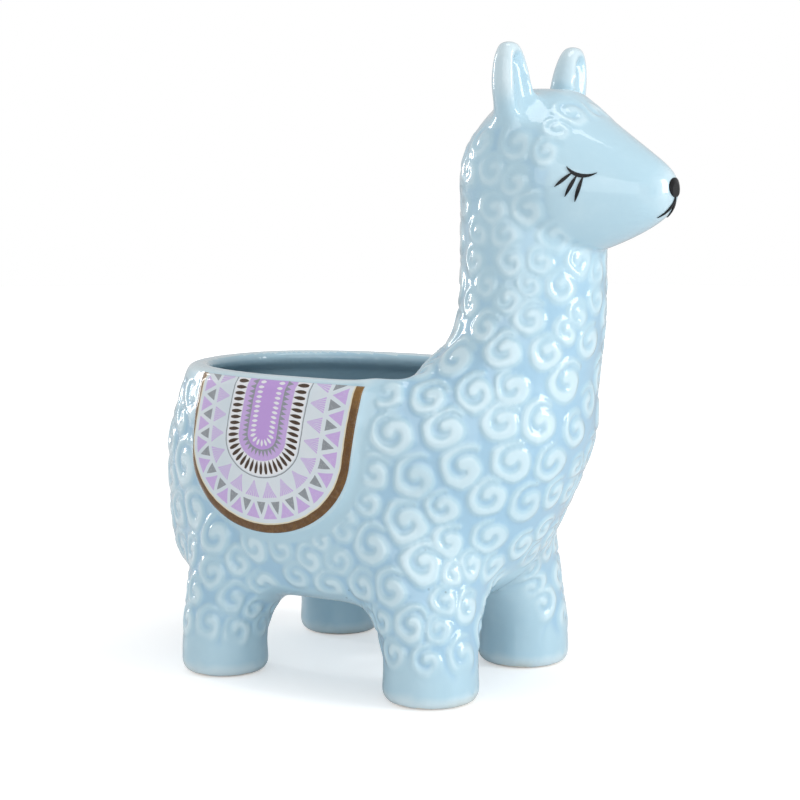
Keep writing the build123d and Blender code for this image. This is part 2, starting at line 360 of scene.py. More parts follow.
# curls that show in the front view: x, y, z and radius; each has a twin on the other flank
seenCurls = (
    (14.8, -36.2, 71.9, 3.8), (23.9, -32.4, 81.2, 3.3), (28.9, -31.8, 73.5, 4.1), (35, -27.3, 82.6, 3.5),
    (10.1, -37.4, 61.9, 3.3), (21.8, -34.4, 60.7, 4.3), (32.3, -29.6, 63.5, 4.1), (42.3, -21.6, 64.3, 3.6),
    (18.4, -34.2, 48.9, 4.6), (9.6, -35.7, 42, 4.1), (26.7, -31.1, 53.2, 3.1), (27.7, -28.7, 43.8, 3.3),
    (35.1, -20.1, 43.9, 3.6), (42.7, -14.1, 52.9, 3.6), (47.9, -10.5, 63.6, 3.4), (48.2, 3, 61, 2.4),
    (51.4, -3.4, 71.3, 2.6), (51.9, 2.7, 78.6, 2.1), (41.1, -24.1, 75.6, 3.8), (47.6, -16.6, 74.1, 3.3),
    (42.5, -22.1, 83.6, 3.3), (50.9, -9.4, 84.9, 3.1), (2.2, -38.1, 49.5, 3.1), (8.8, -37.4, 53.2, 2.6),
    (37.3, -23.9, 55.4, 3.3), (45.6, -4.4, 54.6, 2.6), (13.4, -34.9, 82, 2.6), (38, -7.6, 40.3, 2.6),
    (40.5, -0.1, 43.9, 2.1), (-41.3, -37.8, 39.1, 3.8), (-41.8, -39.5, 29.6, 3.3), (-33.2, -37.5, 33, 3.5),
    (-27.9, -37.2, 37.4, 3), (-34.8, -37.7, 22.4, 4.1), (-41.7, -40, 15.9, 3.6), (-27.1, -34.9, 27.5, 3.3),
    (-9.3, -37.6, 36.2, 3.2), (-14.8, -36.8, 31.2, 2.4), (-0.8, -37, 37.1, 3.7), (1.9, -37.7, 45.4, 2.9),
    (-34.9, -35.9, 13.7, 3.3), (-31.1, -32.8, 19.7, 2.7), (15.7, -36.6, 31, 3.9), (23.6, -33.2, 38.4, 4.9),
    (-52, -34.4, 34.3, 2.2), (-18.9, -37.8, 37.9, 2.4), (-5.2, -38, 42.1, 2.4), (29.8, -31.2, 29.1, 3.3),
    (33.2, -26.3, 26.4, 2.6), (21.5, -37.1, 22.6, 3.9), (27.9, -34.3, 21.6, 2.8), (15.9, -36.9, 14.7, 2.3),
    (25.9, -36, 13.8, 2.6), (32.5, -28.1, 14.3, 2.6), (32.9, -23.9, 37.2, 3.1), (30, -29, 35.7, 2.6),
    (34.7, -15.5, 35.1, 2.6), (32.1, 16.4, 18.8, 2.8), (27.3, 10.4, 19.3, 2.2), (31.7, 9, 28.5, 2.7),
    (45.4, -18.3, 102, 3.3), (34.9, -21.8, 99.2, 2.5), (33.7, -19.8, 109, 2.6), (47, -16.2, 115, 3),
    (40, -20, 106, 2.8), (49.9, -14.2, 122, 3), (44.9, -18.9, 129, 3.3), (53.8, -7.5, 116, 2.8),
    (51.2, -12.2, 109, 2.8), (53.6, -8, 102, 2.6), (52, -11.2, 97.5, 2.6), (49.8, -18.3, 143, 2),
    (50.5, -14.9, 149, 2.3), (35, -19.7, 128, 3.1), (28.9, -18.2, 115, 2.3), (40.6, -19.1, 115, 3),
    (41.9, -20.3, 136, 3.3), (55.2, -0.9, 105, 2.1), (55.3, -0.2, 112, 2.1), (54.6, -1.9, 94.8, 2.3),
    (40.6, -22.5, 93.7, 3.3), (49.5, -15.5, 92.3, 3), (35.3, -20.4, 138, 2.8), (30.3, -18.7, 122, 2.3),
    (45.1, -17.8, 110, 2.5), (38.6, -19.4, 122, 2.8), (28, -18.7, 105, 2.1),
)

# where the wool ends and the face begins: height, and x
faceEdge = ((116.0, 60.0), (118.3, 56.9), (120.3, 54.9), (123.4, 52.2), (128.0, 50.3), (133.5, 50.2),
            (138.4, 51.1), (143.4, 52.4), (147.6, 54.2), (151.0, 56.4), (156.0, 58.0))

# what stays smooth: a pair is the two ends of the curls' fade, and four heights are as in the casting
plainParts = {
    "face": (-1.2, 1.0),         # across the face's edge
    "faceFoot": 115.5,
    "earHeights": (148.0, 150.0),
    "earSide": (5.6, 7.6),
    "earFront": 47.0,
    "crown": (154.5, 156.0),
    "lipHeights": (79.0, 81.0, 85.5, 88.0),
    "lipFront": (8.0, 16.0),     # in front of this the lip turns into the neck's bead
    "bead": (0.06, 0.24),
    "panelMiddle": -21.5,
    "panelLean": 0.137,
    "panelShoulder": 64.5,
    "panelRadii": (29.6, 24.4),
    "panelEdge": (0.985, 1.05),
    "panelSide": 24.0,
    "panelFoot": 38.0,
    "foot": (8.0, 14.0),
    "footWave": (1.5, 0.45, 0.8),        # its size, and how fast it runs with x and y
    "under": (0.45, 0.75),       # how far the surface faces down
    "underTop": 40.0,
    "innerLeg": (0.35, 0.7),     # how far it faces the other leg
    "innerReach": 24.0,
    "innerTop": 30.0,
}


def woolWeight(mesh):
    # one where the surface carries curls, fading to none on what stays smooth
    normals, outer = normalsOf(mesh), attributeOf(mesh, "outer")
    x, y, z = pointsOf(mesh).T
    side = np.abs(y)
    heights, fronts = np.array(faceEdge).T
    face = smoothStep(*plainParts["face"], x - np.interp(z, heights, fronts))
    face *= z > plainParts["faceFoot"]
    ears = smoothStep(*plainParts["earHeights"], z) * smoothStep(*plainParts["earSide"], side)
    ears = np.maximum(ears * (x < plainParts["earFront"]), smoothStep(*plainParts["crown"], z))
    lip = bandWeight(z, plainParts["lipHeights"]) * (1 - smoothStep(*plainParts["lipFront"], x))
    lip = np.maximum(lip, smoothStep(*plainParts["bead"], attributeOf(mesh, "bead")))
    up = z - plainParts["panelShoulder"]
    along = x - plainParts["panelMiddle"] - plainParts["panelLean"] * np.maximum(up, 0.0)
    radiusX, radiusZ = plainParts["panelRadii"]
    rounded = np.hypot(along / radiusX, np.minimum(up, 0.0) / radiusZ)
    panel = 1 - smoothStep(*plainParts["panelEdge"], rounded)
    panel *= (side > plainParts["panelSide"]) & (z > plainParts["panelFoot"])
    size, runX, runY = plainParts["footWave"]
    foot = 1 - smoothStep(*plainParts["foot"], z + size * np.sin(runX * x + runY * y))
    under = smoothStep(*plainParts["under"], -normals[:, 2]) * (z < plainParts["underTop"])
    inner = np.zeros(len(x))
    for legX, legY in planter["legs"]:
        inward = smoothStep(*plainParts["innerLeg"], np.sign(-legY) * normals[:, 1])
        near = np.hypot(x - legX, y - legY) < plainParts["innerReach"]
        inner = np.maximum(inner, near * (z < plainParts["innerTop"]) * inward)
    smooth = np.maximum.reduce([face, ears, lip, panel, foot, under, inner])
    return (1 - smooth) * outer


def nearestOf(centres, land):
    # the nearest centre to each point, a few thousand points at a time
    parts = np.array_split(land, len(land) // 4000 + 1)
    return np.concatenate([((part[:, None] - centres[None]) ** 2).sum(2).argmin(1) for part in parts])


def placedCurls(points, normals, wool):
    # the seen curls and their twins, then the rest evenly between them
    ground = np.flatnonzero(wool > fleece["land"])
    land = points[ground]
    step = np.interp(land[:, 2], *np.array(fleece["spacing"]).T)
    known = [(x, side * y, z, r) for x, y, z, r in seenCurls for side in (1, -1)
             if side > 0 or abs(y) > fleece["twinFrom"]]
    centres = [np.array(curl[:3]) for curl in known]
    gap = np.full(len(land), np.inf)
    for centre in centres:
        gap = np.minimum(gap, np.linalg.norm(land - centre, axis=1) / step)
    while gap.max() > 1.0:
        centre = land[np.argmax(gap)]
        centres.append(centre)
        gap = np.minimum(gap, np.linalg.norm(land - centre, axis=1) / step)
    centres = np.array(centres)
    for _ in range(fleece["settling"]):
        owner = nearestOf(centres, land)
        for i in range(len(known), len(centres)):
            mine = land[owner == i]
            if len(mine):
                centres[i] = mine[np.argmin(((mine - mine.mean(0)) ** 2).sum(1))]
    apart = np.sort(np.linalg.norm(centres[:, None] - centres[None], axis=2), axis=1)[:, 1:4].mean(1)
    radii = fleece["size"] * apart
    radii[:len(known)] = [0.5 * curl[3] * fleece["seenSize"] + 0.5 * fleece["seenGap"] * a
                          for curl, a in zip(known, apart)]
    nearest = [ground[np.argmin(((land - centre) ** 2).sum(1))] for centre in centres]
    hands = np.where(centres[:, 1] < 0.5, 1.0, -1.0)        # the left flank's curls are mirrored
    print("curls", len(centres), "of them seen", len(known))
    return [(points[i], normals[i], r, hand) for i, r, hand in zip(nearest, radii, hands)]


def curlHeights(points, normals, curls):
    # each curl fills the land nearer to it than to the others: 0 in the grooves, 1 on the crests
    farOff = 9.0                 # stands for no curl at all, in shares of a radius
    first, second = np.full(len(points), farOff), np.full(len(points), farOff)
    owner = np.full(len(points), -1)
    for i, (centre, normal, size, _) in enumerate(curls):
        near = np.flatnonzero((np.abs(points - centre) < size * fleece["search"]).all(1))
        near = near[normals[near] @ normal > fleece["facing"]]
        far = np.linalg.norm(points[near] - centre, axis=1) / size
        closer = far < first[near]
        second[near] = np.where(closer, first[near], np.minimum(second[near], far))
        first[near[closer]] = far[closer]
        owner[near[closer]] = i
    # a curl would be round if alone, and its neighbours flatten it a little
    alone, crowded = first / fleece["reach"], 2 * first / (first + second)
    power = fleece["power"]
    share = fleece["swell"] * (alone ** power + crowded ** power) ** (1 / power)

    t = np.linspace(0.0, 1.0, fleece["samples"])
    steps, radii, widths = np.array(fleece["spiral"]).T
    radius, width = np.interp(t, steps, radii), np.interp(t, steps, widths)
    height = np.zeros(len(points))
    for i, (centre, normal, size, hand) in enumerate(curls):
        mine = np.flatnonzero(owner == i)
        # on level ground the front stands for up
        upward = np.array([0.0, 0.0, 1.0]) if abs(normal[2]) < 0.85 else np.array([1.0, 0.0, 0.0])
        upward = upward - normal * (upward @ normal)
        upward /= np.linalg.norm(upward)
        right = np.cross(upward, normal) * hand
        offset = points[mine] - centre
        u, v = offset @ right, offset @ upward
        stretch = share[mine] / (np.hypot(u, v) + 1e-6)
        turned = (math.radians(fleece["tail"] + chance.uniform(-1, 1) * fleece["wander"])
                  + t * chance.uniform(*fleece["turns"]) * 2 * math.pi)
        lineU, lineV = radius * np.cos(turned), radius * np.sin(turned)
        away = np.hypot((u * stretch)[:, None] - lineU, (v * stretch)[:, None] - lineV) / width
        height[mine] = chance.uniform(*fleece["strength"]) * (1 - smoothStep(*fleece["flank"], away.min(1)))
    return height


def fleecedSkin(skin):
    curls = placedCurls(pointsOf(skin.data), normalsOf(skin.data), woolWeight(skin.data))
    subdivision = skin.modifiers.new("subdivision", "SUBSURF")
    subdivision.levels = subdivision.render_levels = 1
    skin = applied(skin)
    mesh = skin.data
    points, normals, edges = pointsOf(mesh), normalsOf(mesh), edgesOf(mesh)
    count = neighbourCount(edges, len(points))
    wool = woolWeight(mesh)
    height = curlHeights(points, normals, curls)
    drawn = fleece["neckDrawn"] * smoothStep(*fleece["neckHeights"], points[:, 2])
    height = fleece["neckLevel"] + (height - fleece["neckLevel"]) * (1 - drawn)
    bend = np.einsum("ij,ij->i", points - neighbourMean(points, edges, count), normals)
    bend = blurred(bend, edges, count, fleece["bendBlur"])
    height = neighbourMean(height, edges, count)
    lift = wool * (height * (fleece["ridge"] + fleece["valley"]) - fleece["valley"])
    lift = neighbourMean(lift, edges, count)
    low, high = np.array(cadBox) / mm
    setPoints(mesh, np.clip(points + normals * lift[:, None], low, high))
    height = blurred(height, edges, count, fleece["poolBlur"])
    setAttribute(mesh, "pool", wool * (1 - height) + (1 - wool) * fleece["plainPool"])
    setAttribute(mesh, "edge", np.clip(bend * fleece["bendScale"], -1.0, 1.0))
    print("fleece carved on", len(points), "points")
    return skin


# materials: each colour as the eye sees it, turned to the renderer's own scale

def seen(red, green, blue):
    def plain(v):
        v /= 255
        return v / 12.92 if v <= 0.04045 else ((v + 0.055) / 1.055) ** 2.4
    return (plain(red), plain(green), plain(blue), 1.0)


def setInputs(tree, node, inputs):
    for key, value in inputs.items():
        if isinstance(value, bpy.types.NodeSocket):
            tree.links.new(value, node.inputs[key])
        else:
            node.inputs[key].default_value = value


def add(tree, kind, inputs=None, **settings):
    made = tree.nodes.new("ShaderNode" + kind)
    for key, value in settings.items():
        setattr(made, key, value)
    setInputs(tree, made, inputs or {})
    return made


def sums(tree, operation, first, second=0.0, third=0.0):
    return add(tree, "Math", {0: first, 1: second, 2: third}, operation=operation).outputs[0]


def between(tree, value, low, high, outLow=0.0, outHigh=1.0, clamp=True):
    return add(tree, "MapRange", {0: value, 1: low, 2: high, 3: outLow, 4: outHigh}, clamp=clamp).outputs[0]


def mixed(tree, share, first, second):
    return add(tree, "Mix", {0: share, 6: first, 7: second}, data_type="RGBA").outputs[2]


def named(tree, name):
    return add(tree, "Attribute", attribute_name=name).outputs["Fac"]


def noise(tree, place, scale, detail=2.0, roughness=0.5):
    return add(tree, "TexNoise", {"Vector": place, "Scale": scale, "Detail": detail,
                                  "Roughness": roughness}).outputs["Fac"]


def heightIn(tree, place):
    return sums(tree, "DIVIDE", add(tree, "SeparateXYZ", {0: place}).outputs["Z"], mm)


def newGroup(name, inputs, outputs):
    tree = bpy.data.node_groups.new(name, "ShaderNodeTree")
    for label, value in inputs:
        socket = tree.interface.new_socket(label, in_out="INPUT", socket_type="NodeSocketFloat")
        socket.default_value = value
    for label, kind in outputs:
        tree.interface.new_socket(label, in_out="OUTPUT", socket_type="NodeSocket" + kind)
    return tree, tree.nodes.new("NodeGroupInput").outputs, tree.nodes.new("NodeGroupOutput").inputs


def groupNode(tree, group, inputs):
    return add(tree, "Group", inputs, node_tree=group).outputs


def newMaterial(name):
    material = bpy.data.materials.new(name)
    material.use_nodes = True
    tree = material.node_tree
    return material, tree, tree.nodes["Principled BSDF"], add(tree, "TexCoord").outputs["Object"]


# noises are given as scale, detail and roughness; most of a noise's values lie in one of these ranges
usual, whole = (0.3, 0.7), (0.2, 0.8)

ripples = {
    "broad": (110.0, 2.0, 0.45),
    "fine": (900.0, 1.0, 0.5),
    "fineShare": 0.06,
    "pinholes": 240.0,
    "pinholeEdge": (0.10, 0.05),
    "patches": (60.0, 1.0),
    "patchEdge": (0.62, 0.66),
}


def wavesGroup():
    # the faint ripple and pinholes of a fired glaze
    tree, given, result = newGroup("glazeWaves", [("Height", 0.02), ("Speckle", 0.0)],
                                   [("Normal", "Vector"), ("Fleck", "Float")])
    place = add(tree, "TexCoord").outputs["Object"]
    fine = sums(tree, "MULTIPLY", noise(tree, place, *ripples["fine"]), ripples["fineShare"])
    height = sums(tree, "ADD", noise(tree, place, *ripples["broad"]), fine)
    bump = add(tree, "Bump", {"Height": height, "Strength": given["Height"], "Distance": 1.0 * mm})
    tree.links.new(bump.outputs["Normal"], result["Normal"])
    holes = add(tree, "TexVoronoi", {"Vector": place, "Scale": ripples["pinholes"]}, feature="F1")
    chosen = between(tree, noise(tree, place, *ripples["patches"]), *ripples["patchEdge"])
    pinholes = between(tree, holes.outputs["Distance"], *ripples["pinholeEdge"])
    fleck = sums(tree, "MULTIPLY", pinholes, chosen)
    tree.links.new(sums(tree, "MULTIPLY", fleck, given["Speckle"]), result["Fleck"])
    return tree


glaze = {
    "ridge": seen(209, 234, 244),
    "middle": seen(184, 217, 232),
    "pool": seen(165, 204, 228),
    "stops": (0.08, 0.52, 0.98),         # the depth at which each of these three colours shows
    "drift": (38.0, 3.0, 0.55),
    "driftPool": (-0.14, 0.14),
    "mottle": (230.0, 3.0, 0.6),
    "mottlePool": (-0.05, 0.05),
    "thin": seen(228, 241, 245),
    "thinEdge": (0.35, 0.95, 0.0, 0.6),  # from and to what bend, and how much
    "bare": seen(236, 231, 222),         # under each foot, where the glaze is wiped off
    "bareRoughness": 0.75,
    "wipe": (0.75, 0.45),
    "wipeNoise": (260.0, 2.0),
    "wipeDrift": (-0.5, 0.5),
    "stain": seen(196, 190, 160),        # a little iron stain gathers above the wipe
    "stainHeights": (3.4, 0.8),
    "stainNoise": (45.0, 2.0),
    "stainEdge": (0.46, 0.66, 0.0, 0.42),
    "insideShade": seen(98, 134, 152),          # painted shade: darker down inside the pot, where the hollow lies in shade
    "insideShadeHeights": (84.0, 70.0, 0.0, 0.8),       # from and to what height, and how much
    "insidePool": (0.45, 0.75),
    "fleck": seen(120, 140, 150),
    "speckle": 0.5,
    "ripple": 0.10,
    "roughness": (0.32, 0.40),
    "specular": 0.25,
    "coatRoughness": 0.035,
    "coatIor": 1.52,
}


def glazedMaterial(name, waves, inside=False):
    material, tree, shader, place = newMaterial(name)
    height = heightIn(tree, place)
    drift = noise(tree, place, *glaze["drift"])
    mottle = noise(tree, place, *glaze["mottle"])
    if inside:
        pool = between(tree, drift, *usual, *glaze["insidePool"])
    else:
        pool = sums(tree, "ADD", named(tree, "pool"), between(tree, drift, *usual, *glaze["driftPool"]))
    pool = sums(tree, "ADD", pool, between(tree, mottle, *usual, *glaze["mottlePool"]))
    ramp = add(tree, "ValToRGB", {0: pool})
    ramp.color_ramp.interpolation = "EASE"
    stops = ramp.color_ramp.elements
    stops[0].position, stops[0].color = glaze["stops"][0], glaze["ridge"]
    stops[1].position, stops[1].color = glaze["stops"][2], glaze["pool"]
    stops.new(glaze["stops"][1]).color = glaze["middle"]
    colour = ramp.outputs["Color"]
    roughness = between(tree, mottle, *whole, *glaze["roughness"])
    coat, speckle = 1.0, 0.0
    if inside:
        # painted shade: the colour darkens towards the shade colour down inside the pot
        colour = mixed(tree, between(tree, height, *glaze["insideShadeHeights"]), colour, glaze["insideShade"])
    else:
        thin = between(tree, named(tree, "edge"), *glaze["thinEdge"])
        colour = mixed(tree, thin, colour, glaze["thin"])
        wiped = between(tree, noise(tree, place, *glaze["wipeNoise"]), *whole, *glaze["wipeDrift"])
        ragged = sums(tree, "ADD", height, wiped)
        stained = between(tree, noise(tree, place, *glaze["stainNoise"]), *glaze["stainEdge"])
        stain = sums(tree, "MULTIPLY", between(tree, ragged, *glaze["stainHeights"]), stained)
        bare = between(tree, ragged, *glaze["wipe"])
        colour = mixed(tree, bare, mixed(tree, stain, colour, glaze["stain"]), glaze["bare"])
        roughness = mixed(tree, bare, roughness, (glaze["bareRoughness"],) * 3 + (1.0,))
        coat, speckle = sums(tree, "SUBTRACT", 1.0, bare), glaze["speckle"]
    skin = groupNode(tree, waves, {"Height": glaze["ripple"], "Speckle": speckle})
    setInputs(tree, shader, {
        "Base Color": mixed(tree, skin["Fleck"], colour, glaze["fleck"]),
        "Roughness": roughness,
        "Normal": skin["Normal"],
        "Coat Weight": coat,
        "Coat Roughness": glaze["coatRoughness"],
        "Coat IOR": glaze["coatIor"],
        "Specular IOR Level": glaze["specular"],
    })
    return material


# the printed blanket: bands that follow its rounded outline

blanket = {
    "middle": -23.7,             # x of the pattern's middle line
    "shoulder": 64.5,            # height where the straight sides end
    "halfWidth": 28.0,
    "drop": 22.1,                # shoulder to the lowest point
    "straight": 0.2,             # share of a band's run that each straight side takes
    "rise": 0.18,                # the inner bands' shoulders rise by this share of their depth
    "lean": 0.137,
    "top": 83.1,
    "rear": -49.6,               # the sheet was cut here
    "deepest": 27.985,
    "bands": {"outerRow": 6.2, "fanRow": 12.4, "seedRow": 18.0, "toothRow": 21.9, "petalRow": 24.9},
    "outside": 60.0,             # it is laid on from this far off the middle plane
    "stand": 0.10,               # above the clay
    "thickness": 0.30,
    "columns": 220,
    "rows": 72,
    "samples": 1200,
    "weld": 0.06,
    "bronze": seen(98, 62, 4),
    "bronzeLight": seen(158, 116, 48),
    "seed": seen(62, 38, 12),
    "lilac": seen(205, 174, 231),
    "deepLilac": seen(198, 160, 228),
    "grey": seen(146, 152, 158),
    "ground": seen(218, 230, 238),
    "white": seen(240, 242, 246),
    "cream": seen(232, 224, 196),
}


def bandPoint(t, depth):
    # x and z on the band at that depth; t runs from the rear top round the end to the front top
    straight = blanket["straight"]
    a = blanket["halfWidth"] - depth
    b = blanket["drop"] * a / blanket["halfWidth"]
    shoulder = blanket["shoulder"] + blanket["rise"] * depth
    turn = np.arctan(blanket["lean"] * b / a)
    angle = math.pi - turn + np.clip((t - straight) / (1 - 2 * straight), 0, 1) * math.pi
    x, z = a * np.cos(angle), b * np.sin(angle)
    share = np.maximum(np.maximum(straight - t, t - (1 - straight)), 0.0) / straight
    up = share * (blanket["top"] - shoulder - z)
    leaning = blanket["lean"] * (up + shoulder - blanket["shoulder"])
    return blanket["middle"] + x + leaning, shoulder + z + up


def lengthAlong(t, depth):
    fine = np.linspace(0, 1, blanket["samples"])
    x, z = bandPoint(fine, depth)
    run = np.concatenate([[0], np.cumsum(np.hypot(np.diff(x), np.diff(z)))])
    return np.interp(t, fine, run / run[-1])


def printedBlanket(name, side, surface, material):
    bm = bmesh.new()
    bmesh.ops.create_grid(bm, x_segments=blanket["columns"], y_segments=blanket["rows"], size=1.0)
    mesh = bpy.data.meshes.new(name)
    bm.to_mesh(mesh)
    bm.free()
    t, depth, _ = (vectorsOf(mesh, "co").T + 1) / 2
    depth = depth * blanket["deepest"]
    x, z = bandPoint(t, depth)
    y = np.empty(len(x))
    for i in range(len(x)):
        start = Vector((x[i] * mm, side * blanket["outside"] * mm, z[i] * mm))
        hit = surface.ray_cast(start, Vector((0, -side, 0)))
        y[i] = hit[0][1] / mm + side * blanket["stand"]
    setPoints(mesh, np.stack([x, y, z], 1))
    setAttribute(mesh, "depth", depth)
    for band, middle in blanket["bands"].items():
        setAttribute(mesh, band, lengthAlong(t, middle))
    bm = bmesh.new()
    bm.from_mesh(mesh)
    bmesh.ops.bisect_plane(bm, geom=bm.verts[:] + bm.edges[:] + bm.faces[:], dist=1e-7,
                           plane_co=(blanket["rear"] * mm, 0, 0), plane_no=(-1, 0, 0), clear_outer=True)
    bmesh.ops.remove_doubles(bm, verts=bm.verts, dist=blanket["weld"] * mm)
    bmesh.ops.recalc_face_normals(bm, faces=bm.faces)
    if sum(f.normal.y * side for f in bm.faces) < 0:
        bmesh.ops.reverse_faces(bm, faces=bm.faces)
    bm.to_mesh(mesh)
    bm.free()
    obj = newObject(name, mesh)
    solid = obj.modifiers.new("thickness", "SOLIDIFY")
    solid.thickness = blanket["thickness"] * mm
    solid.offset = -1.0
    obj = applied(obj)
    obj.data.materials.clear()
    obj.data.materials.append(material)
    obj.data.shade_smooth()
    return obj


markEdges = {
    "side": (-0.006, 0.010),     # soft over this share of the pitch,
    "start": (-0.008, 0.012),    # and over this share of the mark's length
    "end": (1.008, 0.988),
    "narrowest": 0.02,
    "hatchLines": 3.5,
    "hatchEdge": (0.22, 0.36),
}


def stampGroup():
    # one repeated mark in a band: its half width, in shares of the pitch, from one edge to the other;
    # q runs from 0 at the mark's start to 1 at its end
    tree, given, result = newGroup(
        "bandStamp",
        [("Along", 0.0), ("Depth", 0.0), ("Count", 10.0), ("Shift", 0.0), ("From", 0.0), ("To", 1.0),
         ("Half Start", 0.5), ("Half End", 0.5), ("Bulge", 0.0), ("Hatch", 0.0)],
        [("Mask", "Float")])
    cell = sums(tree, "FRACT", sums(tree, "MULTIPLY_ADD", given["Along"], given["Count"], given["Shift"]))
    across = sums(tree, "SUBTRACT", cell, 0.5)
    q = between(tree, given["Depth"], given["From"], given["To"], clamp=False)
    half = between(tree, q, 0.0, 1.0, given["Half Start"], given["Half End"], clamp=False)
    hump = sums(tree, "MULTIPLY", sums(tree, "MULTIPLY", q, sums(tree, "SUBTRACT", 1.0, q)), 4.0)
    half = sums(tree, "MULTIPLY_ADD", hump, given["Bulge"], half)
    room = sums(tree, "SUBTRACT", half, sums(tree, "ABSOLUTE", across))
    inSide = between(tree, room, *markEdges["side"])
    started, ended = between(tree, q, *markEdges["start"]), between(tree, q, *markEdges["end"])
    inBand = sums(tree, "MULTIPLY", started, ended)
    fan = sums(tree, "DIVIDE", across, sums(tree, "MAXIMUM", half, markEdges["narrowest"]))
    lines = sums(tree, "FRACT", sums(tree, "MULTIPLY_ADD", fan, markEdges["hatchLines"], 0.5))
    lines = sums(tree, "ABSOLUTE", sums(tree, "SUBTRACT", lines, 0.5))
    hatch = sums(tree, "MULTIPLY", between(tree, lines, *markEdges["hatchEdge"]), given["Hatch"])
    kept = sums(tree, "SUBTRACT", 1.0, hatch)
    mask = sums(tree, "MULTIPLY", sums(tree, "MULTIPLY", inSide, inBand), kept)
    tree.links.new(mask, result["Mask"])
    return tree


# each mark: ink, band attribute, count, shift, from, to, half start, half end, bulge, hatch
printMarks = (
    ("cream", "outerRow", 1, 0, 2.30, 2.75, 1, 1, 0, 0),
    ("bronze", "outerRow", 1, 0, -1.0, 2.35, 1, 1, 0, 0),
    ("lilac", "outerRow", 18, 0, 3.9, 8.2, 0.39, 0.01, 0, 0.10),
    ("grey", "outerRow", 18, 0.5, 5.1, 8.6, 0.01, 0.30, 0, 0),
    ("lilac", "fanRow", 15, 0.5, 9.8, 14.3, 0.42, 0.04, 0, 0.75),
    ("grey", "fanRow", 1, 0, 15.25, 15.6, 1, 1, 0, 0),
    ("white", "seedRow", 1, 0, 15.9, 20.0, 1, 1, 0, 0),
    ("seed", "seedRow", 37, 0, 16.3, 20.0, 0.14, 0.01, 0.23, 0),
    ("lilac", "toothRow", 1, 0, 20.0, 30.0, 1, 1, 0, 0),
    ("grey", "toothRow", 36, 0, 21.2, 22.8, 0.02, 0.45, 0, 0),
    ("grey", "toothRow", 1, 0, 22.75, 23.15, 1, 1, 0, 0),
    ("deepLilac", "petalRow", 1, 0, 23.15, 30.0, 1, 1, 0, 0),
    ("white", "petalRow", 29, 0, 24.0, 25.9, 0.08, 0.03, 0.24, 0),
)


transfer = {
    "wobble": (420.0, 2.0),              # the print's edges waver a little
    "wobbleDepth": (-0.09, 0.09),
    "cloud": (90.0, 2.0),
    "cloudEdge": (0.35, 0.7, 0.0, 0.5),
    "grain": (1500.0, 2.0, 0.7),
    "grainEdge": (0.30, 0.50),
    "cover": {"lilac": 0.80, "deepLilac": 0.92, "grey": 0.82},     # of each ink in the grain's pits
    "otherCover": 0.97,
    "wear": (800.0, 3.0, 0.7),           # the bronze is worn, most of all on the lip
    "wearEdge": (0.45, 0.75, 0.0, 0.35),
    "wearHeights": (76.5, 81.0, 0.0, 0.45),
    "ripple": 0.08,
    "roughness": (0.30, 0.38),
    "specular": 0.2,
    "coatRoughness": 0.04,
}


def printedMaterial(waves):
    material, tree, shader, place = newMaterial("printedTransfer")
    stamp = stampGroup()
    wobble = between(tree, noise(tree, place, *transfer["wobble"]), *whole, *transfer["wobbleDepth"])
    depth = sums(tree, "ADD", named(tree, "depth"), wobble)
    cloud = between(tree, noise(tree, place, *transfer["cloud"]), *transfer["cloudEdge"])
    colour = mixed(tree, cloud, blanket["ground"], blanket["white"])
    grain = noise(tree, place, *transfer["grain"])
    for ink, band, count, shift, low, high, start, end, bulge, hatch in printMarks:
        mask = groupNode(tree, stamp, {"Along": named(tree, band), "Depth": depth, "Count": count,
                                       "Shift": shift, "From": low, "To": high, "Half Start": start,
                                       "Half End": end, "Bulge": bulge, "Hatch": hatch})["Mask"]
        cover = transfer["cover"].get(ink, transfer["otherCover"])
        mask = sums(tree, "MULTIPLY", mask, between(tree, grain, *transfer["grainEdge"], cover, 1.0))
        paint = blanket[ink]
        if ink == "bronze":
            worn = between(tree, noise(tree, place, *transfer["wear"]), *transfer["wearEdge"])
            lip = between(tree, heightIn(tree, place), *transfer["wearHeights"])
            paint = mixed(tree, sums(tree, "ADD", worn, lip), paint, blanket["bronzeLight"])
        colour = mixed(tree, mask, colour, paint)
    skin = groupNode(tree, waves, {"Height": transfer["ripple"], "Speckle": 0.0})
    setInputs(tree, shader, {
        "Base Color": colour,
        "Roughness": between(tree, grain, *usual, *transfer["roughness"]),
        "Normal": skin["Normal"],
        "Specular IOR Level": transfer["specular"],
        "Coat Weight": 1.0,
        "Coat Roughness": transfer["coatRoughness"],
    })
    return material


enamel = {
    "black": seen(10, 10, 13),
    "thin": seen(36, 38, 46),
    "thinEdge": (0.45, 0.75, 0.0, 0.5),
    "drag": (700.0, 3.0, 0.6),
    "dragAlong": (0.5, 1.0, 0.5),        # the brush's marks run twice as far along x and z
    "ripple": 0.05,
    "roughness": (0.24, 0.36),
    "specular": 0.1,
    "coat": 0.25,
    "coatRoughness": 0.04,
}


def enamelMaterial(waves):
    material, tree, shader, place = newMaterial("brushedEnamel")
    stretched = add(tree, "Mapping", {0: place, 3: enamel["dragAlong"]}).outputs[0]
    drag = noise(tree, stretched, *enamel["drag"])
    thin = between(tree, drag, *enamel["thinEdge"])
    skin = groupNode(tree, waves, {"Height": enamel["ripple"], "Speckle": 0.0})
    setInputs(tree, shader, {
        "Base Color": mixed(tree, thin, enamel["black"], enamel["thin"]),
        "Roughness": between(tree, drag, *usual, *enamel["roughness"]),
        "Normal": skin["Normal"],
        "Specular IOR Level": enamel["specular"],
        "Coat Weight": enamel["coat"],
        "Coat Roughness": enamel["coatRoughness"],
    })
    return material


# the finished skin comes apart into pieces that share their border points and normals

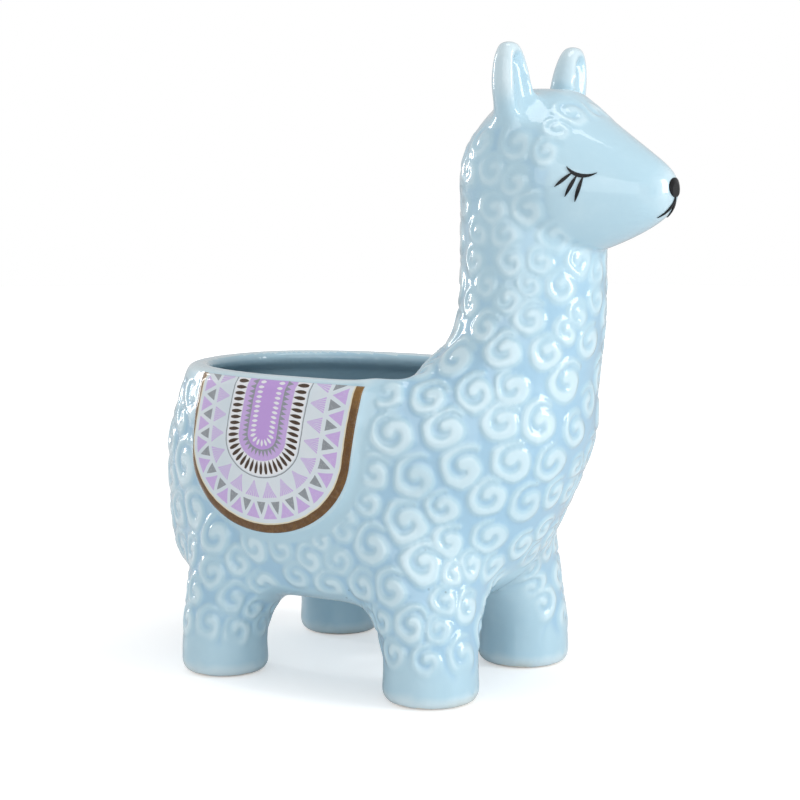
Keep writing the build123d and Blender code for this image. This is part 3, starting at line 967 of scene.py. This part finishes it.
cuts = {
    "neckFoot": 88.0,
    "legTop": 26.0,
    "earSide": 7.0,
    "earFront": 47.5,
    "earFoot": 150.5,            # at earMiddle; the cut rises by earSlope to either side of it
    "earMiddle": 40.0,
    "earSlope": 0.12,
}


def takenPiece(name, skin, faces, normals):
    mesh = skin.data.copy()
    bm = bmesh.new()
    bm.from_mesh(mesh)
    keeper = bm.verts.layers.int.new("keeper")
    for v in bm.verts:
        v[keeper] = v.index
    bm.faces.ensure_lookup_table()
    bmesh.ops.delete(bm, geom=[f for f, keep in zip(bm.faces, faces) if not keep], context="FACES")
    kept = [v[keeper] for v in bm.verts]
    bm.to_mesh(mesh)
    bm.free()
    mesh.attributes.remove(mesh.attributes["keeper"])
    mesh.name = name
    obj = newObject(name, mesh)
    mesh.shade_smooth()
    mesh.normals_split_custom_set_from_vertices([Vector(n) for n in normals[kept]])
    return obj


def castingPieces(skin, outside, inside):
    mesh = skin.data
    normals = normalsOf(mesh)
    corners = np.empty(len(mesh.loops), dtype=np.int32)
    mesh.loops.foreach_get("vertex_index", corners)
    quads = corners.reshape(-1, 4)
    x, y, z = pointsOf(mesh)[quads].mean(1).T
    outer = attributeOf(mesh, "outer")[quads].mean(1) > 0.5
    ear = outer & (np.abs(y) > cuts["earSide"]) & (x < cuts["earFront"])
    ear &= z > cuts["earFoot"] + cuts["earSlope"] * np.abs(x - cuts["earMiddle"])
    neck = outer & ~ear & (z > cuts["neckFoot"])
    leg = outer & ~ear & (z < cuts["legTop"])
    flank = outer & ~ear & ~neck & ~leg
    pieces = {
        "flankLeft": (flank & (y > 0), outside, ("body",)),
        "flankRight": (flank & (y <= 0), outside, ("body",)),
        "legs": (leg, outside, ("body",)),
        "neckAndHead": (neck, outside, ("body",)),
        "earLeft": (ear & (y > 0), outside, ("ear_left",)),
        "earRight": (ear & (y <= 0), outside, ("ear_right",)),
        "inside": (~outer, inside, ("body",)),
    }
    for name, (faces, material, nodes) in pieces.items():
        piece = takenPiece(name, skin, faces, normals)
        piece.data.materials.clear()
        piece.data.materials.append(material)
        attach(piece, "root")
        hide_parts(*nodes)
        print(name, 2 * int(faces.sum()), "triangles")


skin = fleecedSkin(smoothedSkin())
waves = wavesGroup()
glazed = glazedMaterial("celadonGlaze", waves)
# the inside's glaze carries painted shade, darker down inside the pot
glazedInsideShaded = glazedMaterial("celadonGlazeInsideShaded", waves, inside=True)
castingPieces(skin, glazed, glazedInsideShaded)

surface = treeOf(skin.data)
printed = printedMaterial(waves)
for name, side, node in (("blanketLeft", 1, "blanket_left"), ("blanketRight", -1, "blanket_right")):
    piece = printedBlanket(name, side, surface, printed)
    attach(piece, "root")
    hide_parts(node)
    print(name, "laid on")
bpy.data.objects.remove(skin)

brushed = enamelMaterial(waves)
for node in ("lashes_left", "lashes_right", "nose", "mouth"):
    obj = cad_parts[node]
    if not obj.material_slots:
        obj.data.materials.append(brushed)
    for slot in obj.material_slots:
        slot.material = brushed
print("face painted")


# studio

studio = {
    "target": (-5.19, 0.0, 75.0),
    "distance": 551.0,
    "azimuth": 32.49,
    "elevation": 7.14,
    "lens": 90.0,
    "sensor": 36.0,
    "world": 0.45,               # the room's light, beside the full white that the camera sees
    "glossyWorld": 0.35,         # a mirrored room lies this share of the way between the two
    # name: where, aimed at, size, and brightness beside a white card's
    "lamps": {
        "overhead": ((90.0, -40.0, 660.0), (20.0, 0.0, 90.0), (320.0, 190.0), 3.0),
        "tallLeft": ((-640.0, 20.0, 230.0), (10.0, 0.0, 90.0), (80.0, 300.0), 11.0),
        "tallRight": ((640.0, 60.0, 250.0), (10.0, 0.0, 80.0), (200.0, 400.0), 7.5),
        "front": ((330.0, -880.0, 200.0), (10.0, 0.0, 80.0), (1100.0, 640.0), 1.35),
    },
    "floorRadius": 1600.0,
    "floorColours": ((0.86, 0.87, 0.88, 1.0), (0.90, 0.90, 0.90, 1.0)),
    "floorPatches": 4.0,
    "floorRoughness": 0.5,
    "floorSpecular": 0.15,
    # beyond the lamps' reach the floor keeps the paleness it has beside the object: from and to how
    # many metres off, and how much it glows at each
    "floorGlow": (0.25, 1.1, 0.42, 0.95),
}


def studioLamp(name, place, aim, size, brightness):
    lamp = bpy.data.lights.new(name, "AREA")
    lamp.shape = "RECTANGLE"
    lamp.size, lamp.size_y = size[0] * mm, size[1] * mm
    lamp.energy = brightness * math.pi * lamp.size * lamp.size_y
    obj = newObject(name, lamp)
    obj.location = Vector(place) * mm
    obj.rotation_euler = (Vector(aim) - Vector(place)).to_track_quat("-Z", "Y").to_euler()


def paleFloor():
    bm = bmesh.new()
    bmesh.ops.create_circle(bm, cap_ends=True, segments=96, radius=studio["floorRadius"] * mm)
    mesh = bpy.data.meshes.new("floor")
    bm.to_mesh(mesh)
    bm.free()
    floor = newObject("floor", mesh)
    material, tree, shader, place = newMaterial("paleFloor")
    setInputs(tree, shader, {
        "Base Color": mixed(tree, noise(tree, place, studio["floorPatches"]), *studio["floorColours"]),
        "Roughness": studio["floorRoughness"],
        "Specular IOR Level": studio["floorSpecular"],
    })
    distance = add(tree, "VectorMath", {0: place}, operation="LENGTH").outputs["Value"]
    strength = between(tree, distance, *studio["floorGlow"])
    glow = add(tree, "Emission", {"Color": (1, 1, 1, 1), "Strength": strength}).outputs[0]
    glowing = add(tree, "AddShader", {0: shader.outputs[0], 1: glow}).outputs[0]
    seenBy = add(tree, "LightPath").outputs["Is Camera Ray"]
    both = add(tree, "MixShader", {0: seenBy, 1: shader.outputs[0], 2: glowing}).outputs[0]
    tree.links.new(both, tree.nodes["Material Output"].inputs["Surface"])
    mesh.materials.append(material)


def whiteRoom():
    world = bpy.data.worlds.new("studio")
    bpy.context.scene.world = world
    world.use_nodes = True
    tree = world.node_tree
    path = add(tree, "LightPath").outputs
    direct = sums(tree, "MAXIMUM", path["Is Camera Ray"], path["Is Transmission Ray"])
    glossy = sums(tree, "MULTIPLY", path["Is Glossy Ray"], studio["glossyWorld"])
    strength = between(tree, sums(tree, "MAXIMUM", direct, glossy), 0.0, 1.0, studio["world"], 1.0)
    setInputs(tree, tree.nodes["Background"], {"Color": (1, 1, 1, 1), "Strength": strength})


def placeCamera():
    a, e = math.radians(studio["azimuth"]), math.radians(studio["elevation"])
    back = Vector((math.sin(a) * math.cos(e), -math.cos(a) * math.cos(e), math.sin(e)))
    data = bpy.data.cameras.new("camera")
    data.lens, data.sensor_width, data.sensor_fit = studio["lens"], studio["sensor"], "HORIZONTAL"
    camera = newObject("camera", data)
    camera.location = (Vector(studio["target"]) + back * studio["distance"]) * mm
    camera.rotation_euler = (-back).to_track_quat("-Z", "Y").to_euler()
    bpy.context.scene.camera = camera


for name, lamp in studio["lamps"].items():
    studioLamp(name, *lamp)
paleFloor()
whiteRoom()
placeCamera()
bpy.context.scene.view_settings.view_transform = "Standard"
print("studio lit")
